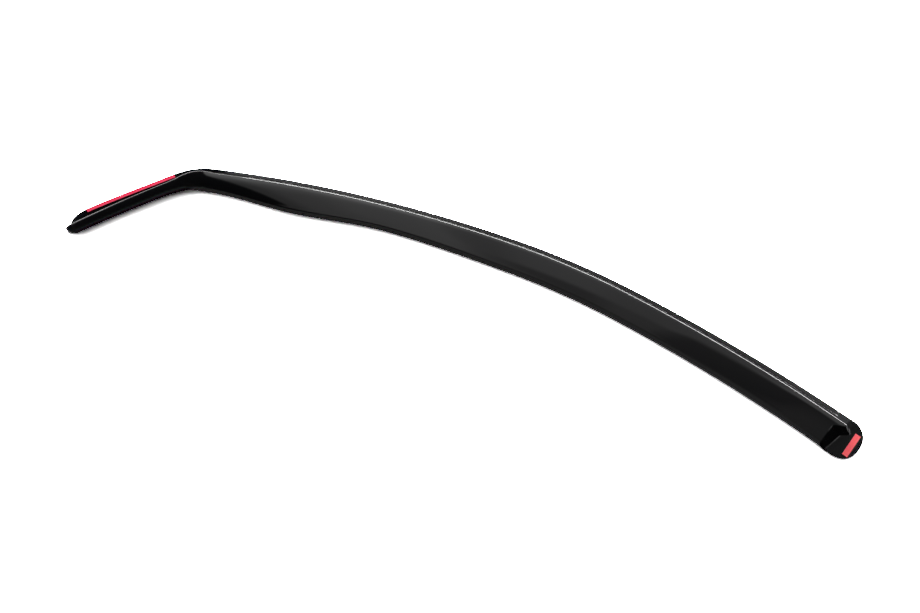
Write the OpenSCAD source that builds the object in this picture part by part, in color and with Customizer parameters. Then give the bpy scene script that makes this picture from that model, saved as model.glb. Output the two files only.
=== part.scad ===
// Window rain deflector for a front door: one moulding of smoked acrylic that
// pushes into the top channel of the side window, with two strips of foam tape.
// It lies with its outer face up. The flange rests on the ground at Z = 0,
// X runs along the length with the foot at +X, and the bow points to +Y.

/* [Plan shape] */
// Length of the first arc of the ridge, next to the foot
front_run = 274; // [200:1:340]
// Angle that the first arc turns through, in degrees
front_turn = 8.4; // [6:0.1:11]
// Length of the arc over the crown of the window
crown_run = 151; // [120:1:190]
// Angle that the crown arc turns through, in degrees
crown_turn = 9.6; // [7:0.1:12]
// Length of the arc from the crown to the bend
rear_run = 432; // [340:1:500]
// Angle that the rear arc turns through, in degrees
rear_turn = 15.5; // [12:0.1:19]
// Angle between the long run and the leg, in degrees
bend_turn = 38.6; // [30:0.1:48]
// Radius of the ridge at that bend
bend_r = 56; // [45:1:80]
// Length of the leg that follows the door pillar
leg_run = 157; // [130:1:200]
// Slight curve of the leg, in degrees
leg_turn = 7.2; // [2:0.1:10]
// Heading of the ridge at the foot, against the long chord, in degrees
foot_heading = 25.5; // [20:0.1:32]

/* [Channel flange] */
// Thickness of the flange that enters the window channel
flange_t = 2; // [1.6:0.1:2.4]
// Ridge to outer edge of the flange, at the foot
flange_w_foot = 15.2; // [13:0.1:16.5]
// Ridge to outer edge of the flange, at mid length
flange_w_mid = 14.4; // [12:0.1:16]
// Ridge to outer edge of the flange, before the bend
flange_w_bend = 15.5; // [12:0.1:17]
// Ridge to outer edge of the flange, after the bend
flange_w_leg = 17.3; // [15:0.1:19]
// Ridge to outer edge of the flange, towards the leg's end
flange_w_end = 21.3; // [18:0.1:24]
// Length over which the flange rounds off at the leg's end
flange_nose = 28; // [16:1:34]
// Fall of the flange's top from the riser to its outer edge, along the main run
flange_taper = 0.9; // [0.4:0.1:1.2]
// Depth of the drain groove along the flange
groove_d = 0.5; // [0.3:0.1:0.8]
// Width of that groove
groove_w = 1.4; // [1:0.1:2]

/* [Visor section] */
// Height of the ridge over the ground along the main run
ridge_h = 11; // [9:0.1:14]
// Height of the ridge over the ground at the foot
ridge_h_foot = 9.8; // [8:0.1:13]
// Height of the ridge over the ground on the leg
ridge_h_leg = 10; // [8.5:0.1:13]
// Wall of the visor
wall = 2.5; // [2:0.1:3]
// Outside radius of the ridge
ridge_r = 3; // [2:0.1:3.5]
// Distance of that radius's centre from the ridge line, towards the free edge
ridge_in = 1.2; // [0.8:0.1:2]
// How far the ridge swings out towards the flange at the bend
bend_out = 3.1; // [1.5:0.1:3.6]
// Lean of the riser between the flange and the ridge
riser_lean = 1.1; // [0.5:0.1:2]
// Height of the soft shoulder between the ridge and the face
shoulder_d = 0.35; // [0.1:0.05:0.6]
// Width of that shoulder
shoulder_w = 7; // [5:0.1:9]
// Crown of the face between the ridge and the lip, along the main run
face_crown = 0.9; // [0.3:0.1:1.6]
// Crown of the face on the leg
face_crown_leg = 0.2; // [0.1:0.1:0.8]
// How far the face's outer side lies under the ridge, along the main run
face_drop = 1.25; // [0.8:0.05:2]
// How far the face's outer side stands over the ridge, on the leg
face_rise_leg = 1.5; // [0.5:0.1:2.5]
// Ridge to free edge, at the foot
face_w_foot = 38.7; // [36:0.1:42]
// Ridge to free edge, at mid length
face_w_mid = 39.5; // [36:0.1:44]
// Ridge to free edge, at the narrow place before the widest one
face_w_waist = 36.5; // [34:0.1:40]
// Ridge to free edge, at the widest place
face_w_wide = 42.7; // [40:0.1:50]
// Ridge to free edge, where the bend starts
face_w_bend = 30; // [27:0.1:35]
// Ridge to free edge, after the bend
face_w_leg = 21.5; // [20:0.1:26]
// Ridge to free edge, at the leg's end
face_w_end = 18.8; // [17:0.1:23]
// Lowest edge of the lip over the ground, along the main run
lip_z = 3; // [2:0.1:5]
// Lowest edge of the lip over the ground, before the bend
lip_z_bend = 5; // [3.5:0.1:6]
// Lowest edge of the lip over the ground, on the leg
lip_z_leg = 7.6; // [6.5:0.1:7.7]
// Outside radius of the rolled lip
lip_r = 5; // [3.5:0.1:7]
// Angle that the lip rolls down by, in degrees
lip_turn = 60; // [40:1:75]

/* [Foot plate] */
// Length of the round foot plate beyond the ridge's end
foot_len = 22.2; // [18:0.1:28]
// Bluntness of the round end, where 2 is an ellipse
foot_power = 2.4; // [2:0.1:3]
// Distance of the plate's tip from its middle line, towards the free edge
foot_tip_aside = 0.8; // [0.2:0.1:1.4]
// Rise of the ridge from the foot plate to its full height, along the ridge
foot_rise = 70; // [50:1:90]
// Length of the slope from the foot plate up to the face
ramp_run = 11; // [8:0.1:14]
// How far the slope's low edge runs back from the ridge to the free edge
ramp_skew = 7.5; // [4:0.1:10]
// How far the slope's low edge stands past the ridge's end
step_out = 2.5; // [1.5:0.1:3.5]
// Distance from the ridge's end to where its top starts to drop
ridge_stop = 2.2; // [1.4:0.1:3.4]
// How far the pointed nose under the ridge stands past the slope's low edge
nose_out = 4.2; // [3:0.1:6]
// Distance of the nose's point from the ridge line, towards the free edge
nose_at = 2.5; // [1.5:0.1:3.5]
// Half width of the nose
nose_w = 7.5; // [6:0.1:9]
// Length of the fillet at the foot of the slope
ramp_fillet = 2.5; // [1.5:0.1:3.5]
// Length of the rounding at the top of the slope
ramp_break = 0.8; // [0.5:0.1:1.5]
// Length of the fillet at the foot of the nose
nose_fillet = 1; // [0.6:0.1:1.8]
// Length of the rounding at the top of the nose
nose_break = 1.2; // [0.8:0.1:2]
// Narrowing of the free edge down to the foot plate
foot_tuck = 0.5; // [0.2:0.1:1]

/* [Leg end] */
// Length over which the face rounds off at the leg's end
tip_len = 11; // [8:0.1:16]
// How far the face stands past the ridge's end
tip_reach = 7; // [5:0.1:9]
// Distance of the rounded tip from the ridge line
tip_in = 4; // [3:0.1:6]
// Bluntness of the tip, where 2 is an ellipse
tip_power = 1.8; // [1.6:0.1:2.4]

/* [Tape] */
// Width of the foam tape
tape_w = 6; // [4:0.1:8]
// Thickness of the foam tape
tape_t = 0.8; // [0.4:0.05:1.5]
// Thickness of the release liner on the tape
liner_t = 0.15; // [0.1:0.01:0.3]
// Length of the tape across the foot plate
foot_tape_len = 31.5; // [26:0.1:33]
// Distance of the foot tape's middle from the plate's middle, towards the free edge
foot_tape_aside = 2.2; // [1:0.1:2.6]
// Distance from the ridge's end to the middle of the foot tape
foot_tape_out = 13.8; // [11:0.1:15]
// Length of the tape along the leg's flange
leg_tape_len = 118; // [80:1:122]
// Distance from the bend to the start of the leg tape
leg_tape_start = 6; // [2:1:20]
// Margin between the leg tape and the flange's outer edge
tape_margin = 1.2; // [0.8:0.1:1.6]

/* [Hidden] */

// Stations along the ridge: 0 at the foot end, end_s at the tip of the leg
rail_end = front_run + crown_run + rear_run;
bend_run = bend_r * bend_turn * PI / 180;
leg_start = rail_end + bend_run;
end_s = leg_start + leg_run;
ridge_end = end_s - tip_reach;
// Each arc of the ridge: length and turn
ARCS = [[front_run, front_turn], [crown_run, crown_turn], [rear_run, rear_turn],
        [bend_run, bend_turn], [leg_run, leg_turn]];
// Distances of the widest and the narrow place from the bend
wide_back = rear_run * 0.317;
waist_back = rear_run * 0.595;
// Length over which widths and heights settle after the bend
settle = bend_r * 0.625;
// Small breaks of the edges
edge_break = wall / 5;
// Offsets from the ridge between which the slope reaches its full length
blend_from = nose_at * 0.6;
ramp_blend = ramp_run;
// Station where the slope ends at the free edge
ramp_top = ramp_run + 2 * step_out;
// Spacing of the sections on the slope, the main run, the bend, the leg and its nose
ramp_step = ramp_top / 12;
main_step = rail_end / 62;
bend_step = bend_r / 14;
leg_step = leg_run / 20;
nose_step = flange_nose / 13;

function smooth(u) = let (c = min(max(u, 0), 1)) c * c * (3 - 2 * c);
function mix(a, b, u) = a + (b - a) * u;

// Value at station s from pairs of station and value, eased between them
function law(k, s, i = 0) =
    s <= k[0][0] ? k[0][1] :
    i >= len(k) - 1 ? k[len(k) - 1][1] :
    s <= k[i + 1][0] ?
        mix(k[i][1], k[i + 1][1], smooth((s - k[i][0]) / (k[i + 1][0] - k[i][0]))) :
    law(k, s, i + 1);

function face_w(s) = law([
    [0, face_w_foot],
    [rail_end / 2, face_w_mid],
    [rail_end - waist_back, face_w_waist],
    [rail_end - wide_back, face_w_wide],
    [rail_end, face_w_bend],
    [leg_start + settle, face_w_leg],
    [ridge_end, face_w_end]], s);

function flange_w(s) = law([
    [0, flange_w_foot],
    [rail_end / 2, flange_w_mid],
    [rail_end, flange_w_bend],
    [leg_start + settle / 2, flange_w_leg],
    [ridge_end, flange_w_end]], s);

function ridge_z(s) = law([
    [0, ridge_h_foot],
    [foot_rise, ridge_h],
    [rail_end, ridge_h],
    [leg_start + settle, ridge_h_leg]], s);

// Height of the face where the lip starts to roll down
function face_z(s) = law([
    [0, ridge_h_foot - face_drop],
    [foot_rise, ridge_h - face_drop],
    [rail_end / 2, ridge_h - face_drop],
    [leg_start + settle, ridge_h_leg + face_rise_leg]], s);

function edge_z(s) = law([
    [rail_end / 2, lip_z],
    [rail_end, lip_z_bend],
    [leg_start + settle, lip_z_leg]], s);

function crown(s) = law([[rail_end, face_crown], [leg_start + settle, face_crown_leg]], s);

// Offset of the ridge's centre, which swings out at the bend
function ridge_n(s) = law([
    [rail_end - settle / 2, ridge_in],
    [leg_start - settle / 2, ridge_in - bend_out],
    [leg_start + settle / 2, ridge_in]], s);

// 1 along the main run, 0 past the bend
function on_rail(s) = 1 - smooth((s - rail_end + settle) / settle);

// Walk along the ridge: x, y and heading at station s
function walk(s, i = 0, x = 0, y = 0, h = 180 - foot_heading) =
    let (
        run = ARCS[i][0],
        k = ARCS[i][1] / run,
        last = i == len(ARCS) - 1,
        u = last ? s : min(s, run),
        r = 180 / (PI * k),
        x1 = x + r * (sin(h + k * u) - sin(h)),
        y1 = y - r * (cos(h + k * u) - cos(h))
    )
    s <= run || last ? [x1, y1, h + k * u] : walk(s - run, i + 1, x1, y1, h + k * u);

// Straight on before the foot end, else along the arcs
function along(s) =
    s < 0 ? [cos(walk(0)[2]) * s, sin(walk(0)[2]) * s, walk(0)[2]] : walk(s);

// Plan point at station s, n mm from the ridge towards the free edge
function plan(s, n) = let (p = along(s)) [p[0] - n * sin(p[2]), p[1] + n * cos(p[2])];

// Half width left at u of the way into a rounded end
function round_end(u, power = 2) = pow(1 - pow(min(max(u, 0), 0.998), power), 1 / power);

// Rise from 0 to 1 over a run, with a fillet at its foot and a rounding at its top
function ramp(t, run, fillet, round_top) =
    let (
        low = min(fillet, run / 2),
        high = min(round_top, run / 2),
        slope = 1 / (run - (low + high) / 2)
    )
    t <= 0 ? 0 :
    t < low ? slope * t * t / (2 * low) :
    t < run - high ? slope * (t - low / 2) :
    t < run ? 1 - slope * (run - t) * (run - t) / (2 * high) : 1;

// How far a point has climbed from the foot plate to the full section
function climb(s, n) =
    let (
        back = min(max(n, 0) / face_w_foot, 1),
        nose = nose_out * smooth(1 - abs(n - nose_at) / nose_w),
        low = ramp_skew * back - step_out - nose,
        inward = smooth((n - blend_from) / ramp_blend),
        top = mix(ridge_stop, ramp_run + step_out, inward)
    )
    ramp(s - low, top - low, mix(nose_fillet, ramp_fillet, inward), mix(nose_break, ramp_break, inward));

// Full section at station s: points of offset n, height z, height on the foot plate
function section(s) =
    let (
        h = ridge_z(s),
        rn = ridge_n(s),
        riser = ridge_r + riser_lean - rn,
        wl = face_w(s) - foot_tuck * (1 - smooth(s / ramp_top)),
        nose = round_end((s - (ridge_end - flange_nose)) / flange_nose),
        we = mix(riser + edge_break, flange_w(s), nose),
        ft = flange_t,
        fall = flange_taper * on_rail(s),
        top = function (n) ft + fall * (0.8 - (n + riser) / (riser - we)),
        mid = -(we + riser) / 2,
        gw = min(groove_w, (we - riser) / 3) / 2,
        gd = groove_d * on_rail(s) * smooth(s / settle),
        zf = face_z(s),
        rz = h - ridge_r,
        zc = zf - lip_r,
        ri = lip_r - wall,
        skirt = max(0, zc + ri * cos(lip_turn) - edge_z(s)) / sin(lip_turn),
        n1 = wl - lip_r * sin(lip_turn) - skirt * cos(lip_turn),
        start = -atan((4 * crown(s) + zf - h) / n1 + 2 * shoulder_d / shoulder_w),
        n0 = rn + ridge_r * sin(start),
        z0 = rz + ridge_r * cos(start),
        roll = function (u) max(0, 1 - u * (n1 - n0) / shoulder_w),
        face = function (u) [
            mix(n0, n1, u),
            mix(z0, zf, u) + 4 * crown(s) * u * (1 - u)
                + shoulder_d * (1 - roll(u) * roll(u)) * (1 - u)],
        lip = function (r, down) [
            n1 + r * sin(lip_turn) + down * cos(lip_turn),
            zc + r * cos(lip_turn) - down * sin(lip_turn)],
        outer_low = lip(lip_r, skirt - edge_break / 2),
        edge = lip(lip_r - wall / 2, skirt),
        inner_low = lip(ri, skirt - edge_break / 2)
    )
    [
        [-we, 0, 0],
        [-we, top(-we) - edge_break, ft - edge_break],
        [-we + edge_break, top(-we + edge_break), ft],
        [mid - gw, top(mid - gw), ft],
        [mid, top(mid) - gd, ft],
        [mid + gw, top(mid + gw), ft],
        [-riser - edge_break, top(-riser - edge_break), ft],
        [-riser, top(-riser) + 2 * edge_break, ft],
        for (i = [0 : 4]) let (a = mix(-72, start, i / 4))
            [rn + ridge_r * sin(a), rz + ridge_r * cos(a), ft],
        for (u = [0.06, 0.12, 0.2, 0.36, 0.52, 0.68, 0.84]) let (p = face(u)) [p[0], p[1], ft],
        for (a = [0 : 4]) let (t = a / 4 * lip_turn)
            [n1 + lip_r * sin(t), zc + lip_r * cos(t), ft],
        [outer_low[0], outer_low[1], ft],
        [edge[0], edge[1], ft / 2],
        [inner_low[0], inner_low[1], 0],
        for (a = [2 : -1 : 0]) let (t = a / 2 * lip_turn)
            [n1 + ri * sin(t), zc + ri * cos(t), 0],
        for (u = [0.84, 0.68, 0.52, 0.36, 0.2]) let (p = face(u)) [p[0], p[1] - wall, 0],
        [wall + rn - ridge_r + 2 * edge_break, h - wall, 0],
        [wall + rn - ridge_r, h - wall - 2 * edge_break, 0],
        [-riser + wall, 0, 0]
    ];

// Section points placed in space, with the foot plate and both ends shaped
function ring(s) =
    let (
        centre = (face_w_foot - foot_tuck - flange_w_foot) / 2 + foot_tip_aside,
        foot = s < 0 ? round_end(-s / foot_len, foot_power) : 1,
        tip_out = round_end((s - (end_s - tip_len)) / tip_len, tip_power),
        tip_back = round_end((s - (end_s - tip_reach)) / tip_reach)
    )
    [for (q = section(s))
        let (
            n_foot = mix(centre, q[0], foot),
            n = q[0] > tip_in ? mix(tip_in, n_foot, tip_out) : mix(tip_in, n_foot, tip_back),
            z = mix(q[2], q[1], climb(s, q[0])),
            p = plan(s, n)
        )
        [p[0], p[1], z]];

// Numbers from a to b in equal steps of about the given size, without b
function steps(a, b, size) =
    let (n = max(1, round((b - a) / size))) [for (i = [0 : n - 1]) mix(a, b, i / n)];

// Close spacing at the ends and the bend, wide spacing on the gentle arcs
foot_stations = [for (i = [0 : 5]) -foot_len + (foot_len - ramp_step * 7) * (1 - cos(i * 90 / 6))];
tip_stations = [for (i = [1 : 8]) end_s - tip_reach * (1 - sin(i * 90 / 8))];
stations = concat(
    foot_stations,
    steps(-ramp_step * 7, ramp_top, ramp_step),
    steps(ramp_top, rail_end, main_step),
    steps(rail_end, leg_start + settle, bend_step),
    steps(leg_start + settle, ridge_end - flange_nose, leg_step),
    steps(ridge_end - flange_nose, ridge_end, nose_step),
    [ridge_end],
    tip_stations);

rings = [for (s = stations) ring(s)];
low = [for (i = [0 : 1]) min([for (r = rings) for (p = r) p[i]])];
high = [for (i = [0 : 1]) max([for (r = rings) for (p = r) p[i]])];
// The origin is under the middle of the part
origin = -(low + high) / 2;

// Closed skin through rings of equal length
module skin(rs) {
    m = len(rs[0]);
    last = len(rs) - 1;
    points = [for (r = rs) for (p = r) p];
    sides = [for (i = [0 : last - 1]) for (j = [0 : m - 1])
        let (a = i * m + j, b = i * m + (j + 1) % m)
        each [[a, b, b + m], [a, b + m, a + m]]];
    first_cap = [[for (j = [m - 1 : -1 : 0]) j]];
    last_cap = [[for (j = [0 : m - 1]) last * m + j]];
    polyhedron(points, concat(sides, first_cap, last_cap), convexity = 10);
}

// Outline of the tape across the foot plate
module foot_strip() {
    middle = (face_w_foot - foot_tuck - flange_w_foot) / 2 + foot_tape_aside;
    polygon([for (c = [[-1, -1], [1, -1], [1, 1], [-1, 1]])
        plan(-foot_tape_out + c[0] * tape_w / 2, middle + c[1] * foot_tape_len / 2)]);
}

// Outline of the tape along the leg, parallel to the flange's outer edge
module leg_strip() {
    s0 = leg_start + leg_tape_start;
    ss = concat(steps(s0, s0 + leg_tape_len, 6), [s0 + leg_tape_len]);
    outer = [for (s = ss) plan(s, -flange_w(s) + tape_margin)];
    inner = [for (i = [len(ss) - 1 : -1 : 0])
        plan(ss[i], -flange_w(ss[i]) + tape_margin + tape_w)];
    polygon(concat(outer, inner));
}

module layer(z, t) {
    translate([origin[0], origin[1], z]) linear_extrude(t) children();
}

module visor() {
    color([0.09, 0.09, 0.1]) translate([origin[0], origin[1], 0]) skin(rings);
}

module foot_foam_tape() {
    color([0.2, 0.2, 0.21]) layer(flange_t, tape_t) foot_strip();
}

module foot_release_liner() {
    color([0.95, 0.3, 0.34]) layer(flange_t + tape_t, liner_t) foot_strip();
}

module leg_foam_tape() {
    color([0.2, 0.2, 0.21]) layer(flange_t, tape_t) leg_strip();
}

module leg_release_liner() {
    color([0.86, 0.1, 0.28]) layer(flange_t + tape_t, liner_t) leg_strip();
}

visor();
foot_foam_tape();
foot_release_liner();
leg_foam_tape();
leg_release_liner();
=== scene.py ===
"""A window rain deflector of smoked acrylic, lying on a white ground with its outer face up.

The visor is swept along its ridge from the same driving dimensions as the solid model,
with a finer section. The two tapes are foam strips under red release liners.
Plan shape and section are worked out in millimetres and turned into metres at the end.
"""

import math

import bpy
import numpy as np
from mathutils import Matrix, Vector


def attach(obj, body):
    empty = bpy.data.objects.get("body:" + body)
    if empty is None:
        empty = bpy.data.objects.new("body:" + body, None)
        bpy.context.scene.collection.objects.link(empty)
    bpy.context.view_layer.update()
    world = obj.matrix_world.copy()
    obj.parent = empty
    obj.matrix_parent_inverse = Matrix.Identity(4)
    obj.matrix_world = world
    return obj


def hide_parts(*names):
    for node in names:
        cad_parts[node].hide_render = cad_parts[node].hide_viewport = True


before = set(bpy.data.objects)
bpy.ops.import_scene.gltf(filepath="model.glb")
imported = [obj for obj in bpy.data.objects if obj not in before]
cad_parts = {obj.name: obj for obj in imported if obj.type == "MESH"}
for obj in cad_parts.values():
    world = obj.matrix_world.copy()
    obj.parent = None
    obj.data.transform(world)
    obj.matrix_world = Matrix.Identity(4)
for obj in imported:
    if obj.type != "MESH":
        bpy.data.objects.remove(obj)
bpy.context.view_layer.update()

MM = 0.001

# Ridge: length in mm and turn in degrees of each arc, from the foot to the leg
FRONT, CROWN, REAR = (274, 8.4), (151, 9.6), (432, 15.5)
BEND_R, BEND_TURN = 56, 38.6
LEG = (157, 7.2)
FOOT_HEADING = 25.5

# Channel flange
FLANGE_T = 2
FLANGE_W_FOOT, FLANGE_W_MID, FLANGE_W_BEND = 15.2, 14.4, 15.5
FLANGE_W_LEG, FLANGE_W_END = 17.3, 21.3
FLANGE_NOSE = 28
GROOVE_D, GROOVE_W = 0.5, 1.4
FLANGE_TAPER = 0.9

# Visor section
RIDGE_H, RIDGE_H_FOOT, RIDGE_H_LEG = 11, 9.8, 10
FOOT_RISE = 70
WALL = 2.5
RIDGE_R, RIDGE_IN, BEND_OUT = 3, 1.2, 3.1
RISER_LEAN = 1.1
SHOULDER_D, SHOULDER_W = 0.35, 7
FACE_CROWN, FACE_CROWN_LEG = 0.9, 0.2
FACE_W_FOOT, FACE_W_MID, FACE_W_WAIST, FACE_W_WIDE = 38.7, 39.5, 36.5, 42.7
FACE_W_BEND, FACE_W_LEG, FACE_W_END = 30, 21.5, 18.8
FACE_DROP, FACE_RISE_LEG = 1.25, 1.5
LIP_Z, LIP_Z_BEND, LIP_Z_LEG = 3, 5, 7.6
LIP_R, LIP_TURN = 5, 60

# Foot plate and the end of the leg
FOOT_LEN, FOOT_POWER, FOOT_TIP_ASIDE = 22.2, 2.4, 0.8
RAMP_RUN, RAMP_SKEW, STEP_OUT = 11, 7.5, 2.5
NOSE_OUT, NOSE_AT, NOSE_W, RIDGE_STOP = 4.2, 2.5, 7.5, 2.2
RAMP_FILLET, RAMP_BREAK = 2.5, 0.8
NOSE_FILLET, NOSE_BREAK = 1, 1.2
FOOT_TUCK = 0.5
TIP_LEN, TIP_REACH, TIP_IN, TIP_POWER = 11, 7, 4, 1.8

# Tape
TAPE_W, TAPE_T, LINER_T = 6, 0.8, 0.15
FOOT_TAPE_LEN, FOOT_TAPE_OUT, FOOT_TAPE_ASIDE = 31.5, 13.8, 2.2
LEG_TAPE_LEN, LEG_TAPE_START, TAPE_MARGIN = 118, 6, 1.2

# Values that follow, in the same units
RAIL_END = FRONT[0] + CROWN[0] + REAR[0]
BEND_RUN = math.radians(BEND_TURN) * BEND_R
LEG_START = RAIL_END + BEND_RUN
END_S = LEG_START + LEG[0]
RIDGE_END = END_S - TIP_REACH
ARCS = [FRONT, CROWN, REAR, (BEND_RUN, BEND_TURN), LEG]
WIDE_BACK, WAIST_BACK, SETTLE = 137, 257, 35
RAMP_TOP = RAMP_RUN + 2 * STEP_OUT
RAMP_BLEND, BLEND_FROM = RAMP_RUN, NOSE_AT * 0.6
EDGE_BREAK = 0.5
FOOT_CENTRE = (FACE_W_FOOT - FOOT_TUCK - FLANGE_W_FOOT) / 2


def smooth(u):
    """u held between 0 and 1, with soft ends."""
    c = min(max(u, 0.0), 1.0)
    return c * c * (3 - 2 * c)


def mix(a, b, u):
    """a where u is 0, b where it is 1, and between them in proportion."""
    return a + (b - a) * u


def law(knots, s):
    """Value at station s from pairs of station and value, eased between them."""
    if s <= knots[0][0]:
        return knots[0][1]
    for (s0, v0), (s1, v1) in zip(knots, knots[1:]):
        if s <= s1:
            return mix(v0, v1, smooth((s - s0) / (s1 - s0)))
    return knots[-1][1]


# Laws along the ridge: station and value, eased between
FACE_W = [(0, FACE_W_FOOT), (RAIL_END / 2, FACE_W_MID), (RAIL_END - WAIST_BACK, FACE_W_WAIST),
          (RAIL_END - WIDE_BACK, FACE_W_WIDE), (RAIL_END, FACE_W_BEND),
          (LEG_START + SETTLE, FACE_W_LEG), (RIDGE_END, FACE_W_END)]
FLANGE_W = [(0, FLANGE_W_FOOT), (RAIL_END / 2, FLANGE_W_MID), (RAIL_END, FLANGE_W_BEND),
            (LEG_START + SETTLE / 2, FLANGE_W_LEG), (RIDGE_END, FLANGE_W_END)]
RIDGE_Z = [(0, RIDGE_H_FOOT), (FOOT_RISE, RIDGE_H), (RAIL_END, RIDGE_H),
           (LEG_START + SETTLE, RIDGE_H_LEG)]
FACE_END_Z = [(0, RIDGE_H_FOOT - FACE_DROP), (FOOT_RISE, RIDGE_H - FACE_DROP),
              (RAIL_END / 2, RIDGE_H - FACE_DROP), (LEG_START + SETTLE, RIDGE_H_LEG + FACE_RISE_LEG)]
EDGE_Z = [(RAIL_END / 2, LIP_Z), (RAIL_END, LIP_Z_BEND), (LEG_START + SETTLE, LIP_Z_LEG)]
CROWN_D = [(RAIL_END, FACE_CROWN), (LEG_START + SETTLE, FACE_CROWN_LEG)]
RIDGE_N = [(RAIL_END - SETTLE / 2, RIDGE_IN), (LEG_START - SETTLE / 2, RIDGE_IN - BEND_OUT),
           (LEG_START + SETTLE / 2, RIDGE_IN)]


def along(s):
    """Plan place and heading in radians of the ridge at station s."""
    x, y, h = 0.0, 0.0, math.radians(180 - FOOT_HEADING)
    if s < 0:
        return math.cos(h) * s, math.sin(h) * s, h
    for i, (run, turn) in enumerate(ARCS):
        k = math.radians(turn) / run
        u = s if i == len(ARCS) - 1 else min(s, run)
        x += (math.sin(h + k * u) - math.sin(h)) / k
        y -= (math.cos(h + k * u) - math.cos(h)) / k
        h += k * u
        s -= u
        if s <= 0:
            break
    return x, y, h


def plan(place, n):
    """Plan point n mm from the ridge towards the free edge."""
    x, y, h = place
    return x - n * math.sin(h), y + n * math.cos(h)


# The last ring of a rounded end keeps a little width, so that its faces don't collapse
END_LIMIT = 0.998


def round_end(u, power=2.0):
    """Half width left at u of the way into a rounded end."""
    return (1 - min(max(u, 0.0), END_LIMIT) ** power) ** (1 / power)


def ramp(t, run, low, high):
    """Rise from 0 to 1 over a run, with a fillet at the low end and a break at the high end."""
    low, high = min(low, run / 2), min(high, run / 2)
    slope = 1 / (run - (low + high) / 2)
    if t <= 0:
        return 0.0
    if t < low:
        return slope * t * t / (2 * low)
    if t < run - high:
        return slope * (t - low / 2)
    if t < run:
        return 1 - slope * (run - t) ** 2 / (2 * high)
    return 1.0


def climb(s, n):
    """How far a point has climbed from the foot plate to the full section."""
    back = min(max(n, 0) / FACE_W_FOOT, 1)
    low = RAMP_SKEW * back - STEP_OUT - NOSE_OUT * smooth(1 - abs(n - NOSE_AT) / NOSE_W)
    inward = smooth((n - BLEND_FROM) / RAMP_BLEND)
    top = mix(RIDGE_STOP, RAMP_RUN + STEP_OUT, inward)
    fillet = mix(NOSE_FILLET, RAMP_FILLET, inward)
    edge = mix(NOSE_BREAK, RAMP_BREAK, inward)
    return ramp(s - low, top - low, fillet, edge)


def on_rail(s):
    """1 along the main run, 0 past the bend."""
    return 1 - smooth((s - RAIL_END + SETTLE) / SETTLE)


def arc(cn, cz, r, a0, a1, count, flat):
    """Points on a circle round (cn, cz), with angles in degrees from straight up."""
    out = []
    for i in range(count):
        a = math.radians(mix(a0, a1, i / (count - 1)))
        out.append((cn + r * math.sin(a), cz + r * math.cos(a), flat))
    return out


def line(a, b, count, flat):
    """Points from a to b, without b."""
    return [(mix(a[0], b[0], i / count), mix(a[1], b[1], i / count), flat) for i in range(count)]


# How finely the section is drawn: points on a curve or steps along a line
SIDE_STEPS, EDGE_POINTS, EDGE_STEPS = 3, 6, 8
GROOVE_HALF = 5
FILLET_POINTS, FILLET_TURN = 6, 70
RISER_STEPS, FLANGE_STEPS = 4, 6
RIDGE_POINTS, RIDGE_FROM = 22, -72
SHOULDER_PLACES, FACE_FIRST, FACE_STEPS = (0.012, 0.03, 0.06, 0.09, 0.12), 4, 26
LIP_POINTS, LIP_UNDER_POINTS = 12, 6
UNDER_STEPS = 12
UNDER_R, UNDER_TURN, UNDER_POINTS = 1, -80, 4
# Gap left beside a groove or fillet, and how far out from the riser the flange is FLANGE_T thick
GUARD = 0.15
TAPER_LEVEL = 0.8


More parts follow.
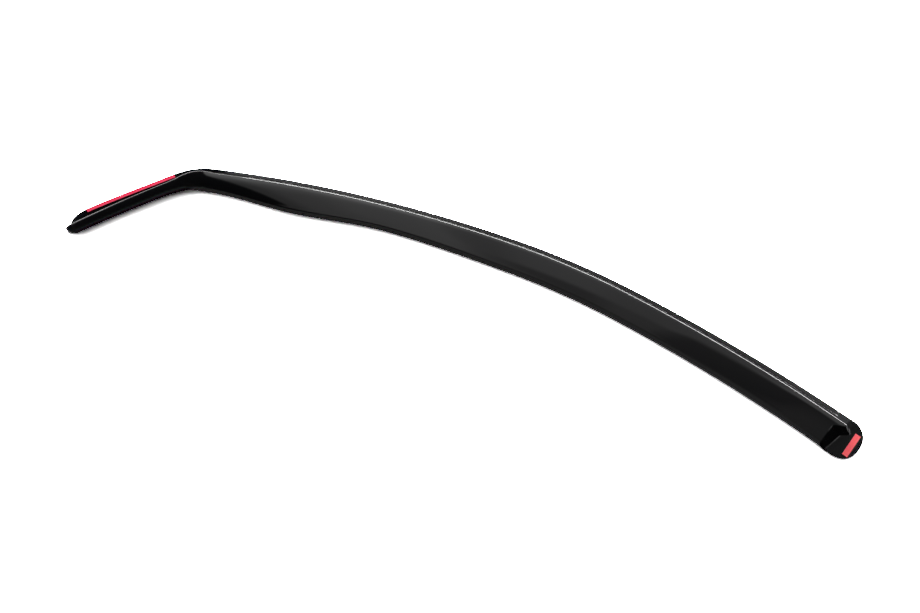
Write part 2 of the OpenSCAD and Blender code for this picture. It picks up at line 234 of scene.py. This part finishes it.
class Section:
    """Full cross-section at one station. Points are offset, height and height on the foot plate."""

    def __init__(self, s):
        self.crest = law(RIDGE_Z, s)
        self.ridge_n = law(RIDGE_N, s)
        self.ridge_z = self.crest - RIDGE_R
        self.riser = RIDGE_R + RISER_LEAN - self.ridge_n
        self.rail = on_rail(s)
        self.set_flange(s)
        self.set_lip(s)
        self.set_face(s)

    def set_flange(self, s):
        """Width of the flange, which narrows at the end, and its groove."""
        nose = round_end((s - (RIDGE_END - FLANGE_NOSE)) / FLANGE_NOSE)
        self.flange = mix(self.riser + EDGE_BREAK, law(FLANGE_W, s), nose)
        self.groove_n = -(self.flange + self.riser) / 2
        self.groove_half = min(GROOVE_W, (self.flange - self.riser) / 3) / 2
        self.groove_d = GROOVE_D * self.rail * smooth(s / SETTLE)

    def set_lip(self, s):
        """Centre of the lip's circle, and how far its straight skirt goes on down."""
        width = law(FACE_W, s) - FOOT_TUCK * (1 - smooth(s / RAMP_TOP))
        turn = math.radians(LIP_TURN)
        self.face_end_z = law(FACE_END_Z, s)
        self.lip_z = self.face_end_z - LIP_R
        self.skirt = max(0, self.lip_z + (LIP_R - WALL) * math.cos(turn) - law(EDGE_Z, s)) / math.sin(turn)
        self.lip_n = width - LIP_R * math.sin(turn) - self.skirt * math.cos(turn)

    def set_face(self, s):
        """Where the ridge's circle ends and the face begins."""
        self.crown = law(CROWN_D, s)
        slope = (4 * self.crown + self.face_end_z - self.crest) / self.lip_n + 2 * SHOULDER_D / SHOULDER_W
        self.ridge_to = -math.degrees(math.atan(slope))
        self.face_n = self.ridge_n + RIDGE_R * math.sin(math.radians(self.ridge_to))
        self.face_z = self.ridge_z + RIDGE_R * math.cos(math.radians(self.ridge_to))

    def top(self, n):
        """Height of the flange's upper side, which tapers across."""
        across = (n + self.riser) / (self.riser - self.flange)
        return FLANGE_T + FLANGE_TAPER * self.rail * (TAPER_LEVEL - across)

    def face(self, u):
        """Point at u of the way over the face, which is crowned and has a soft shoulder."""
        roll = max(0, 1 - u * (self.lip_n - self.face_n) / SHOULDER_W)
        shoulder = SHOULDER_D * (1 - roll * roll) * (1 - u)
        height = mix(self.face_z, self.face_end_z, u) + 4 * self.crown * u * (1 - u) + shoulder
        return mix(self.face_n, self.lip_n, u), height

    def flange_edge(self):
        """Outer edge of the flange from the ground up, with its upper edge rounded."""
        flange, low = self.flange, FLANGE_T - EDGE_BREAK
        side = line((-flange, 0), (-flange, self.top(-flange) - EDGE_BREAK), SIDE_STEPS, 0)
        points = [(n, z, min(z, low)) for n, z, _ in side]
        for a in np.linspace(0, math.pi / 2, EDGE_POINTS):
            out = EDGE_BREAK * (1 - math.cos(a))
            down = EDGE_BREAK * (1 - math.sin(a))
            points.append((-flange + out, self.top(-flange + out) - down, FLANGE_T - down))
        return points

    def flange_top(self):
        """Upper side of the flange with its groove, up to the fillet at the riser."""
        mid, half = self.groove_n, self.groove_half
        fillet = -self.riser - 2 * EDGE_BREAK
        flats = (-self.flange + EDGE_BREAK + GUARD, mid - half - GUARD)
        points = [(n, self.top(n), FLANGE_T) for n in flats]
        for i in range(2 * GROOVE_HALF + 1):
            u = i / GROOVE_HALF - 1
            n = mid + half * u
            points.append((n, self.top(n) - self.groove_d * (1 - u ** 2) ** 2, FLANGE_T))
        points += [(n, self.top(n), FLANGE_T) for n in (mid + half + GUARD, fillet - GUARD)]
        for a in np.linspace(0, math.radians(FILLET_TURN), FILLET_POINTS):
            n = fillet + 2 * EDGE_BREAK * math.sin(a)
            points.append((n, self.top(fillet) + 2 * EDGE_BREAK * (1 - math.cos(a)), FLANGE_T))
        return points

    def outer_face(self, start):
        """Riser from the point start, ridge, face, lip and the straight skirt below it."""
        turn = math.radians(LIP_TURN)
        ridge = arc(self.ridge_n, self.ridge_z, RIDGE_R, RIDGE_FROM, self.ridge_to, RIDGE_POINTS, FLANGE_T)
        points = line(start, ridge[0], RISER_STEPS, FLANGE_T)[1:] + ridge
        points += [(*self.face(u), FLANGE_T) for u in SHOULDER_PLACES]
        points += [(*self.face(i / FACE_STEPS), FLANGE_T) for i in range(FACE_FIRST, FACE_STEPS + 1)]
        points += arc(self.lip_n, self.lip_z, LIP_R, 0, LIP_TURN, LIP_POINTS, FLANGE_T)[1:]
        end_n, end_z, _ = points[-1]
        half = self.skirt / 2
        return points + [(end_n + half * math.cos(turn), end_z - half * math.sin(turn), FLANGE_T)]

    def free_edge(self):
        """The rounded free edge, from the outer face to the underside."""
        turn = math.radians(LIP_TURN)
        middle, reach = LIP_R - WALL / 2, self.skirt - EDGE_BREAK
        n = self.lip_n + middle * math.sin(turn) + reach * math.cos(turn)
        z = self.lip_z + middle * math.cos(turn) - reach * math.sin(turn)
        points = []
        for i in range(1, EDGE_STEPS):
            a = math.pi * i / EDGE_STEPS
            out, across = EDGE_BREAK * math.sin(a), WALL / 2 * math.cos(a)
            points.append((n + out * math.cos(turn) + across * math.sin(turn),
                           z - out * math.sin(turn) + across * math.cos(turn),
                           FLANGE_T * (1 + math.cos(a)) / 2))
        return points

    def underside(self):
        """Back along the inside at the wall's thickness, down the riser and under the flange."""
        foot = (-self.riser + WALL, 0)
        points = arc(self.lip_n, self.lip_z, LIP_R - WALL, LIP_TURN, 0, LIP_UNDER_POINTS, 0)
        for i in range(UNDER_STEPS - 1, 1, -1):
            n, z = self.face(i / UNDER_STEPS)
            points.append((n, z - WALL, 0))
        inner_n = WALL + self.ridge_n - RIDGE_R + UNDER_R
        points += arc(inner_n, self.crest - WALL - UNDER_R, UNDER_R, 0, UNDER_TURN, UNDER_POINTS, 0)
        points += line(points[-1], foot, RISER_STEPS, 0)[1:]
        return points + line(foot, (-self.flange, 0), FLANGE_STEPS, 0)

    def points(self):
        """The closed outline, from the flange's outer edge over the face and back underneath."""
        flange = self.flange_edge() + self.flange_top()
        return flange + self.outer_face(flange[-1]) + self.free_edge() + self.underside()


def ring(s):
    """Section points placed in space in mm, with the foot plate and both ends shaped."""
    foot = round_end(-s / FOOT_LEN, FOOT_POWER) if s < 0 else 1
    tip_out = round_end((s - (END_S - TIP_LEN)) / TIP_LEN, TIP_POWER)
    tip_back = round_end((s - (END_S - TIP_REACH)) / TIP_REACH)
    place = along(s)
    out = []
    for n, z, flat in Section(s).points():
        n_foot = mix(FOOT_CENTRE + FOOT_TIP_ASIDE, n, foot)
        n_end = mix(TIP_IN, n_foot, tip_out if n > TIP_IN else tip_back)
        out.append((*plan(place, n_end), mix(flat, z, climb(s, n))))
    return out


def steps(a, b, size):
    """Numbers from a to b in equal steps of about the given size, without b."""
    n = max(1, round((b - a) / size))
    return [mix(a, b, i / n) for i in range(n)]


# Rings over each rounded end, and their spacing in mm along the rest
FOOT_STEPS, TIP_STEPS = 28, 22
RAMP_STEP, RUN_STEP, BEND_STEP, NOSE_STEP = 0.4, 3, 1.2, 0.7


def quarter(i, count):
    """Angle in radians at i of the count equal steps of a quarter turn."""
    return math.radians(i * 90 / count)


def stations():
    """Close spacing at the ends and the bend, wider spacing on the gentle arcs."""
    bend_end, nose_start = LEG_START + SETTLE, RIDGE_END - FLANGE_NOSE
    foot = [-FOOT_LEN * math.cos(quarter(i, FOOT_STEPS)) for i in range(FOOT_STEPS)]
    tip = [RIDGE_END + TIP_REACH * math.sin(quarter(i, TIP_STEPS)) for i in range(1, TIP_STEPS)]
    body = steps(0, RAMP_TOP, RAMP_STEP) + steps(RAMP_TOP, RAIL_END, RUN_STEP)
    body += steps(RAIL_END, bend_end, BEND_STEP) + steps(bend_end, nose_start, RUN_STEP)
    return foot + body + steps(nose_start, RIDGE_END, NOSE_STEP) + [RIDGE_END] + tip


# Edges that turn by more than this many degrees stay sharp in the shading
SHARP_ANGLE = 38


def mesh_object(name, vertices, faces, smooth_shaded=True):
    """A new object in the scene, with its sharp edges marked."""
    mesh = bpy.data.meshes.new(name)
    mesh.from_pydata([tuple(v) for v in vertices], [], faces)
    mesh.update()
    mesh.polygons.foreach_set("use_smooth", [smooth_shaded] * len(mesh.polygons))
    mesh.set_sharp_from_angle(angle=math.radians(SHARP_ANGLE))
    obj = bpy.data.objects.new(name, mesh)
    bpy.context.scene.collection.objects.link(obj)
    return obj


def skin(rings):
    """Vertices and faces of a closed skin through rings of equal length."""
    m = len(rings[0])
    vertices = [p for r in rings for p in r]
    faces = []
    for i in range(len(rings) - 1):
        for j in range(m):
            a, b = i * m + j, i * m + (j + 1) % m
            faces.append((a, a + m, b + m, b))
    faces.append(tuple(range(m)))
    last = (len(rings) - 1) * m
    faces.append(tuple(range(last + m - 1, last - 1, -1)))
    return vertices, faces


RINGS = [ring(s) for s in stations()]
# The frame's origin is under the middle of the part
PLAN_POINTS = np.array([p[:2] for r in RINGS for p in r])
ORIGIN = -(PLAN_POINTS.min(0) + PLAN_POINTS.max(0)) / 2


def to_frame(points):
    """Points in mm in the ridge's own coordinates, as points of the frame in metres."""
    return [((p[0] + ORIGIN[0]) * MM, (p[1] + ORIGIN[1]) * MM, p[2] * MM) for p in points]


def make_visor():
    """The moulding: one closed skin from the tip of the foot to the end of the leg."""
    vertices, faces = skin([to_frame(r) for r in RINGS])
    return mesh_object("visor_shell", vertices, faces)


# Points on a strip's rounded edge, and places across its top in half widths
CORNER_POINTS = 4
TOP_PLACES = np.linspace(-0.8, 0.8, 5)


def strip(name, places, half_w, z0, z1, edge):
    """A flat strip along a list of plan places, with its long upper edges rounded."""
    corner = [(1 - math.cos(a), 1 - math.sin(a)) for a in np.linspace(0, math.pi / 2, CORNER_POINTS)]
    outline = [(-half_w + edge * c[0], z1 - edge * c[1]) for c in corner]
    outline += [(half_w * u, z1) for u in TOP_PLACES]
    outline += [(half_w - edge * c[0], z1 - edge * c[1]) for c in reversed(corner)]
    outline += [(half_w, z0), (-half_w, z0)]
    rings = [to_frame([(*plan(place, middle + n), z) for n, z in outline]) for place, middle in places]
    vertices, faces = skin(rings)
    return mesh_object(name, vertices, faces)


def foot_places(count):
    """Places along the tape that crosses the foot plate, from the flange's side to the free side."""
    x, y, h = along(-FOOT_TAPE_OUT)
    middle = FOOT_CENTRE + FOOT_TAPE_ASIDE
    out = []
    for i in range(count):
        n = middle + FOOT_TAPE_LEN * (i / (count - 1) - 0.5)
        out.append(((*plan((x, y, h), n), h + math.pi / 2), 0))
    return out


def leg_places(count):
    """Places along the tape on the leg, which follows the flange's outer edge."""
    out = []
    for i in range(count):
        s = LEG_START + LEG_TAPE_START + LEG_TAPE_LEN * i / (count - 1)
        out.append((along(s), -law(FLANGE_W, s) + TAPE_MARGIN + TAPE_W / 2))
    return out


def node(tree, kind, **inputs):
    """A new shader node with named inputs set to values or linked to sockets."""
    n = tree.nodes.new(kind)
    for name, value in inputs.items():
        if isinstance(value, bpy.types.NodeSocket):
            tree.links.new(value, n.inputs[name])
        else:
            n.inputs[name].default_value = value
    return n


def new_material(name, kind="ShaderNodeBsdfPrincipled"):
    """A material with one shader, and the shader's tree."""
    material = bpy.data.materials.new(name)
    material.use_nodes = True
    tree = material.node_tree
    tree.nodes.clear()
    out = tree.nodes.new("ShaderNodeOutputMaterial")
    shader = tree.nodes.new(kind)
    tree.links.new(shader.outputs[0], out.inputs["Surface"])
    return material, tree, shader


def object_coords(tree):
    return tree.nodes.new("ShaderNodeTexCoord").outputs["Object"]


def map_range(tree, value, low, high):
    """A value from 0 to 1 mapped to the range from low to high."""
    n = tree.nodes.new("ShaderNodeMapRange")
    tree.links.new(value, n.inputs["Value"])
    n.inputs["To Min"].default_value = low
    n.inputs["To Max"].default_value = high
    return n.outputs["Result"]


SMOKE, ACRYLIC_IOR = (0.002, 0.002, 0.0023, 1), 1.49
POLISH = (0.03, 0.06)
FOAM_SHADES, FOAM_ROUGHNESS = (0.016, 0.045), 0.85
LINER_ROUGHNESS = 0.38


def acrylic():
    """Polished smoked acrylic, with a slight haze and the faint waves of a moulding."""
    material, tree, shader = new_material("smoked_acrylic")
    coords = object_coords(tree)
    shader.inputs["Base Color"].default_value = SMOKE
    shader.inputs["IOR"].default_value = ACRYLIC_IOR
    haze = node(tree, "ShaderNodeTexNoise", Vector=coords, Scale=38.0, Detail=3.0)
    tree.links.new(map_range(tree, haze.outputs["Fac"], *POLISH), shader.inputs["Roughness"])
    wave = node(tree, "ShaderNodeTexNoise", Vector=coords, Scale=26.0, Detail=1.0)
    bump = node(tree, "ShaderNodeBump", Height=wave.outputs["Fac"], Strength=0.01, Distance=0.0006)
    tree.links.new(bump.outputs["Normal"], shader.inputs["Normal"])
    return material


def foam():
    """Dark closed-cell foam."""
    material, tree, shader = new_material("foam")
    cells = node(tree, "ShaderNodeTexVoronoi", Vector=object_coords(tree), Scale=2600.0)
    shade = map_range(tree, cells.outputs["Distance"], *FOAM_SHADES)
    colour = tree.nodes.new("ShaderNodeCombineColor")
    for k in range(3):
        tree.links.new(shade, colour.inputs[k])
    tree.links.new(colour.outputs[0], shader.inputs["Base Color"])
    shader.inputs["Roughness"].default_value = FOAM_ROUGHNESS
    bump = node(tree, "ShaderNodeBump", Height=cells.outputs["Distance"], Strength=0.5, Distance=0.0001)
    tree.links.new(bump.outputs["Normal"], shader.inputs["Normal"])
    return material


def liner(name, pale, deep):
    """Red release film, clouded between two reds and finely creased."""
    material, tree, shader = new_material(name)
    coords = object_coords(tree)
    cloud = node(tree, "ShaderNodeTexNoise", Vector=coords, Scale=60.0, Detail=2.0)
    blend = tree.nodes.new("ShaderNodeMix")
    blend.data_type = "RGBA"
    tree.links.new(cloud.outputs["Fac"], blend.inputs["Factor"])
    colours_in = [i for i in blend.inputs if i.type == "RGBA"]
    colours_in[0].default_value = (*deep, 1)
    colours_in[1].default_value = (*pale, 1)
    colour_out = [o for o in blend.outputs if o.type == "RGBA"][0]
    tree.links.new(colour_out, shader.inputs["Base Color"])
    shader.inputs["Roughness"].default_value = LINER_ROUGHNESS
    crease = node(tree, "ShaderNodeTexNoise", Vector=coords, Scale=420.0, Detail=2.0)
    bump = node(tree, "ShaderNodeBump", Height=crease.outputs["Fac"], Strength=0.15, Distance=0.0002)
    tree.links.new(bump.outputs["Normal"], shader.inputs["Normal"])
    return material


def dress(obj, material, node_name):
    """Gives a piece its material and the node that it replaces."""
    obj.data.materials.append(material)
    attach(obj, "root")
    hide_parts(node_name)


# Reds of the liners, pale and deep. The edges' radii are in mm
FOOT_REDS = (0.98, 0.12, 0.13), (0.93, 0.06, 0.09)
LEG_REDS = (0.85, 0.02, 0.09), (0.66, 0.008, 0.05)
FOOT_PLACES, LEG_PLACES = 24, 90
FOAM_EDGE, LINER_EDGE = 0.12, 0.05


def make_tapes():
    """At each end a strip of foam with its release film on top."""
    foam_material = foam()
    liners = {"foot": liner("foot_liner", *FOOT_REDS), "leg": liner("leg_liner", *LEG_REDS)}
    runs = {"foot": foot_places(FOOT_PLACES), "leg": leg_places(LEG_PLACES)}
    top = FLANGE_T + TAPE_T
    for end, places in runs.items():
        body = strip(end + "_foam", places, TAPE_W / 2, FLANGE_T, top, FOAM_EDGE)
        dress(body, foam_material, end + "_foam_tape")
        film = strip(end + "_liner", places, TAPE_W / 2, top, top + LINER_T, LINER_EDGE)
        dress(film, liners[end], end + "_release_liner")


# Camera, from the photograph: 770 pixels of focal length, 57 degrees down, 0.78 m up
FOCAL_PX, FRAME_W = 770, 920
PITCH_DOWN, CAMERA_TURN = 57, 17.03
CAMERA_AT = (0.1745, -0.5153, 0.780)
SENSOR_W = 36
CLIP_END = 50
WHITE = (1, 1, 1, 1)


def make_camera():
    """The camera, which stands and looks as the photograph's does."""
    data = bpy.data.cameras.new("camera")
    data.sensor_width = SENSOR_W
    data.lens = FOCAL_PX / FRAME_W * SENSOR_W
    data.clip_end = CLIP_END
    camera = bpy.data.objects.new("camera", data)
    camera.location = CAMERA_AT
    camera.rotation_euler = (math.radians(90 - PITCH_DOWN), 0, math.radians(CAMERA_TURN))
    bpy.context.scene.collection.objects.link(camera)
    bpy.context.scene.camera = camera


def scalar(tree, operation, a, b):
    """Result of a Math node on two sockets or numbers."""
    n = tree.nodes.new("ShaderNodeMath")
    n.operation = operation
    for i, value in enumerate((a, b)):
        if isinstance(value, bpy.types.NodeSocket):
            tree.links.new(value, n.inputs[i])
        else:
            n.inputs[i].default_value = value
    return n.outputs[0]


def eased(tree, value, from_min, from_max, to_min=0.0, to_max=1.0):
    """Value mapped from one range to another with soft ends."""
    n = tree.nodes.new("ShaderNodeMapRange")
    n.interpolation_type = "SMOOTHSTEP"
    tree.links.new(value, n.inputs["Value"])
    n.inputs["From Min"].default_value = from_min
    n.inputs["From Max"].default_value = from_max
    n.inputs["To Min"].default_value = to_min
    n.inputs["To Max"].default_value = to_max
    return n.outputs["Result"]


# Ground: half its side in metres, and its reflectance for light, to the camera and in gloss
FLOOR_HALF = 6
FLOOR_ALBEDO, FLOOR_SEEN, FLOOR_IN_GLOSS = 0.8, 8.0, 1.1
# Painted contact shadow, darkening the floor's colour by ambient occlusion: its reach in metres, the range
# of open sky that it eases over and its factors
FLOOR_REACH, REACH_SAMPLES = 0.013, 8
PAINTED_CONTACT_SHADOW = (0.16, 0.66, 0.03, 1.0)


def floor_shade(tree):
    """Reflectance that stays white to the camera and in gloss, with a painted contact shadow: darker where
    ambient occlusion finds the object close by.
    """
    path = tree.nodes.new("ShaderNodeLightPath").outputs
    gloss = scalar(tree, "MAXIMUM", path["Is Glossy Ray"], path["Is Transmission Ray"])
    shade = scalar(tree, "MULTIPLY", gloss, FLOOR_IN_GLOSS - FLOOR_ALBEDO)
    seen = scalar(tree, "MULTIPLY", path["Is Camera Ray"], FLOOR_SEEN - FLOOR_ALBEDO)
    shade = scalar(tree, "ADD", scalar(tree, "ADD", shade, seen), FLOOR_ALBEDO)
    painted_shadow_ao = tree.nodes.new("ShaderNodeAmbientOcclusion")
    painted_shadow_ao.inputs["Distance"].default_value = FLOOR_REACH
    painted_shadow_ao.samples = REACH_SAMPLES
    # Painted contact shadow: the floor's colour is darkened by ambient occlusion under the object
    return scalar(tree, "MULTIPLY", shade, eased(tree, painted_shadow_ao.outputs["AO"], *PAINTED_CONTACT_SHADOW))


def make_floor():
    """White ground that keeps the object's shadow from the lamps, and has a painted contact shadow in its
    colour.
    """
    f = FLOOR_HALF
    floor = mesh_object("floor", [(-f, -f, 0), (f, -f, 0), (f, f, 0), (-f, f, 0)], [(0, 1, 2, 3)], False)
    material, tree, shader = new_material("floor_white", "ShaderNodeBsdfDiffuse")
    shade = floor_shade(tree)
    grey = tree.nodes.new("ShaderNodeCombineColor")
    for k in range(3):
        tree.links.new(shade, grey.inputs[k])
    tree.links.new(grey.outputs["Color"], shader.inputs["Color"])
    floor.data.materials.append(material)


# Height of the walls in metres
BACKDROP_H = 5


def make_backdrop():
    """White walls at the ends of the floor, for views from low down. They light and mirror nothing."""
    f, h = FLOOR_HALF, BACKDROP_H
    corners = [(-f, -f), (f, -f), (f, f), (-f, f)]
    vertices = [(x, y, z) for z in (0, h) for x, y in corners]
    faces = [(i, (i + 1) % 4, (i + 1) % 4 + 4, i + 4) for i in range(4)]
    backdrop = mesh_object("backdrop", vertices, faces, False)
    material, _, shader = new_material("backdrop_white", "ShaderNodeEmission")
    shader.inputs["Color"].default_value = WHITE
    shader.inputs["Strength"].default_value = 1
    backdrop.data.materials.append(material)
    backdrop.visible_diffuse = False
    backdrop.visible_glossy = False
    backdrop.visible_shadow = False


def compass(azimuth, elevation):
    """Unit vector from degrees clockwise from +Y and degrees above the floor."""
    a, e = math.radians(azimuth), math.radians(elevation)
    return Vector((math.sin(a) * math.cos(e), math.cos(a) * math.cos(e), math.sin(e)))


def area_light(name, azimuth, elevation, distance, size_x, size_y, radiance):
    """A soft panel facing the object from a direction, with its size in metres."""
    data = bpy.data.lights.new(name, "AREA")
    data.shape = "RECTANGLE"
    data.size, data.size_y = size_x, size_y
    data.energy = radiance * math.pi * size_x * size_y
    lamp = bpy.data.objects.new(name, data)
    toward = compass(azimuth, elevation)
    lamp.location = toward * distance
    lamp.rotation_euler = toward.to_track_quat("Z", "Y").to_euler()
    bpy.context.scene.collection.objects.link(lamp)
    return lamp


# Lamps: azimuth and elevation in degrees, distance, width and height in metres, radiance
LAMPS = {"back_panel": (4, 12, 3, 4.4, 0.8, 26),
         "back_strip": (4, 8, 3, 4.4, 0.6, 34.7),
         "leg_strip": (-47, 12, 3, 1.5, 0.45, 4.6),
         "edge_panel": (70, 36, 3, 0.8, 0.8, 3),
         "left_panel": (-90, 28, 3, 2.4, 1.5, 3.4)}


def make_lamps():
    """The lamps. The back panel gives soft light alone, and the strip below it only shows in gloss."""
    lamps = {name: area_light(name, *values) for name, values in LAMPS.items()}
    lamps["back_panel"].visible_glossy = False
    lamps["back_strip"].visible_diffuse = False


# Pale wall behind the object, facing WALL_TURN. Its shades go with the distance along it from
# its leaning left edge, low down and high up; what counts as high starts lower past HIGH_STEP
WALL_TURN = -20
WALL_SPAN = 2.5
EDGE_LEAN, EDGE_SHIFT = 0.153, 0.206
LOW_SHADES = [(0, 0.374), (0.05, 0.406), (0.095, 0.603), (0.16, 0.666), (0.22, 0.822), (0.35, 0.874),
              (0.395, 0.882), (0.44, 0.696), (0.48, 0.626), (0.53, 0.615), (0.6, 0.719), (0.7, 0.742),
              (0.8, 0.731), (0.88, 0.65), (1, 0.615), (1.2, 0.626), (1.35, 0.65), (1.5, 0.87),
              (2.5, 1.044)]
HIGH_SHADES = [(0, 0.374), (0.22, 0.822), (0.35, 0.874), (0.47, 0.58), (0.6, 0.394), (0.79, 0.371),
               (0.9, 0.499), (1.07, 0.452), (1.1, 0.348), (1.18, 0.2), (1.5, 0.165), (1.8, 0.15),
               (2.1, 0.22), (2.5, 0.26)]
# Ranges that the shades ease over: from and to, and the values there where they aren't 0 and 1
WALL_FOOT, WALL_TOP = (0.6, 1.12, 1.0, 0.0), (1.93, 2.35)
FOOT_AT_EDGE = (0.06, 0.1, 1.8, 1.0)
HIGH_STEP = (1.08, 1.16, 0.0, 0.28)
WALL_EDGE, WALL_AHEAD, LEAST_AHEAD = (-0.006, 0.008), (0.0, 0.2), 0.02
# Shade of the room round the wall. Its dark corners: azimuth and elevation in degrees, and the
# range of the cosine of the angle to them
ROOM = 0.38
DARK_LEFT, LEFT_RANGE = (-60, 42), (0.62, 0.78, 1.0, 0.02)
DARK_RIGHT, RIGHT_RANGE = (115, 25), (0.35, 0.72, 1.0, 0.04)


def ramp_node(tree, place, stops):
    """Grey ramp over the wall's span with the given stops of place and shade."""
    n = tree.nodes.new("ShaderNodeValToRGB")
    tree.links.new(place, n.inputs["Fac"])
    elements = n.color_ramp.elements
    while len(elements) < len(stops):
        elements.new(0.5)
    for element, (at, shade) in zip(elements, stops):
        element.position = at / WALL_SPAN
        element.color = (shade, shade, shade, 1)
    return n.outputs["Color"]


def direction_dot(tree, direction, vector):
    """How far the direction points along a unit vector."""
    n = tree.nodes.new("ShaderNodeVectorMath")
    n.operation = "DOT_PRODUCT"
    tree.links.new(direction, n.inputs[0])
    n.inputs[1].default_value = vector
    return n.outputs["Value"]


def wall_shade(tree, height, along_wall):
    """Shade of the wall: one ramp low down, with a glow at its foot, and another high up."""
    place = scalar(tree, "DIVIDE", along_wall, WALL_SPAN)
    glow = scalar(tree, "MULTIPLY", eased(tree, height, *WALL_FOOT), eased(tree, along_wall, *FOOT_AT_EDGE))
    low = scalar(tree, "MULTIPLY", ramp_node(tree, place, LOW_SHADES), scalar(tree, "ADD", glow, 1.0))
    rise = eased(tree, scalar(tree, "ADD", height, eased(tree, along_wall, *HIGH_STEP)), *WALL_TOP)
    low = scalar(tree, "MULTIPLY", low, scalar(tree, "SUBTRACT", 1.0, rise))
    return scalar(tree, "ADD", low, scalar(tree, "MULTIPLY", ramp_node(tree, place, HIGH_SHADES), rise))


def room_shade(tree, direction):
    """Shade of the room, which goes dark in a corner on each side."""
    left = eased(tree, direction_dot(tree, direction, compass(*DARK_LEFT)), *LEFT_RANGE)
    right = eased(tree, direction_dot(tree, direction, compass(*DARK_RIGHT)), *RIGHT_RANGE)
    return scalar(tree, "MULTIPLY", scalar(tree, "MULTIPLY", left, right), ROOM)


def make_world():
    """Soft studio surroundings: a pale wall behind, a dark corner on each side and a dim room."""
    world = bpy.data.worlds.new("world")
    bpy.context.scene.world = world
    world.use_nodes = True
    tree = world.node_tree
    direction = tree.nodes.new("ShaderNodeTexCoord").outputs["Generated"]
    ahead = direction_dot(tree, direction, compass(WALL_TURN, 0))
    sideways = direction_dot(tree, direction, compass(WALL_TURN + 90, 0))
    up = direction_dot(tree, direction, (0, 0, 1))
    reach = scalar(tree, "MAXIMUM", ahead, LEAST_AHEAD)
    height = scalar(tree, "DIVIDE", up, reach)
    along_wall = scalar(tree, "DIVIDE", sideways, reach)
    lean = scalar(tree, "ADD", scalar(tree, "MULTIPLY", height, EDGE_LEAN), EDGE_SHIFT)
    along_wall = scalar(tree, "ADD", along_wall, lean)
    inside = scalar(tree, "MULTIPLY", eased(tree, along_wall, *WALL_EDGE), eased(tree, ahead, *WALL_AHEAD))
    wall = scalar(tree, "MULTIPLY", inside, wall_shade(tree, height, along_wall))
    room = scalar(tree, "MULTIPLY", scalar(tree, "SUBTRACT", 1.0, inside), room_shade(tree, direction))
    background = tree.nodes["Background"]
    background.inputs["Color"].default_value = WHITE
    tree.links.new(scalar(tree, "ADD", wall, room), background.inputs["Strength"])


dress(make_visor(), acrylic(), "visor")
make_tapes()
make_camera()
make_floor()
make_backdrop()
make_lamps()
make_world()

bpy.context.scene.view_settings.view_transform = "Standard"
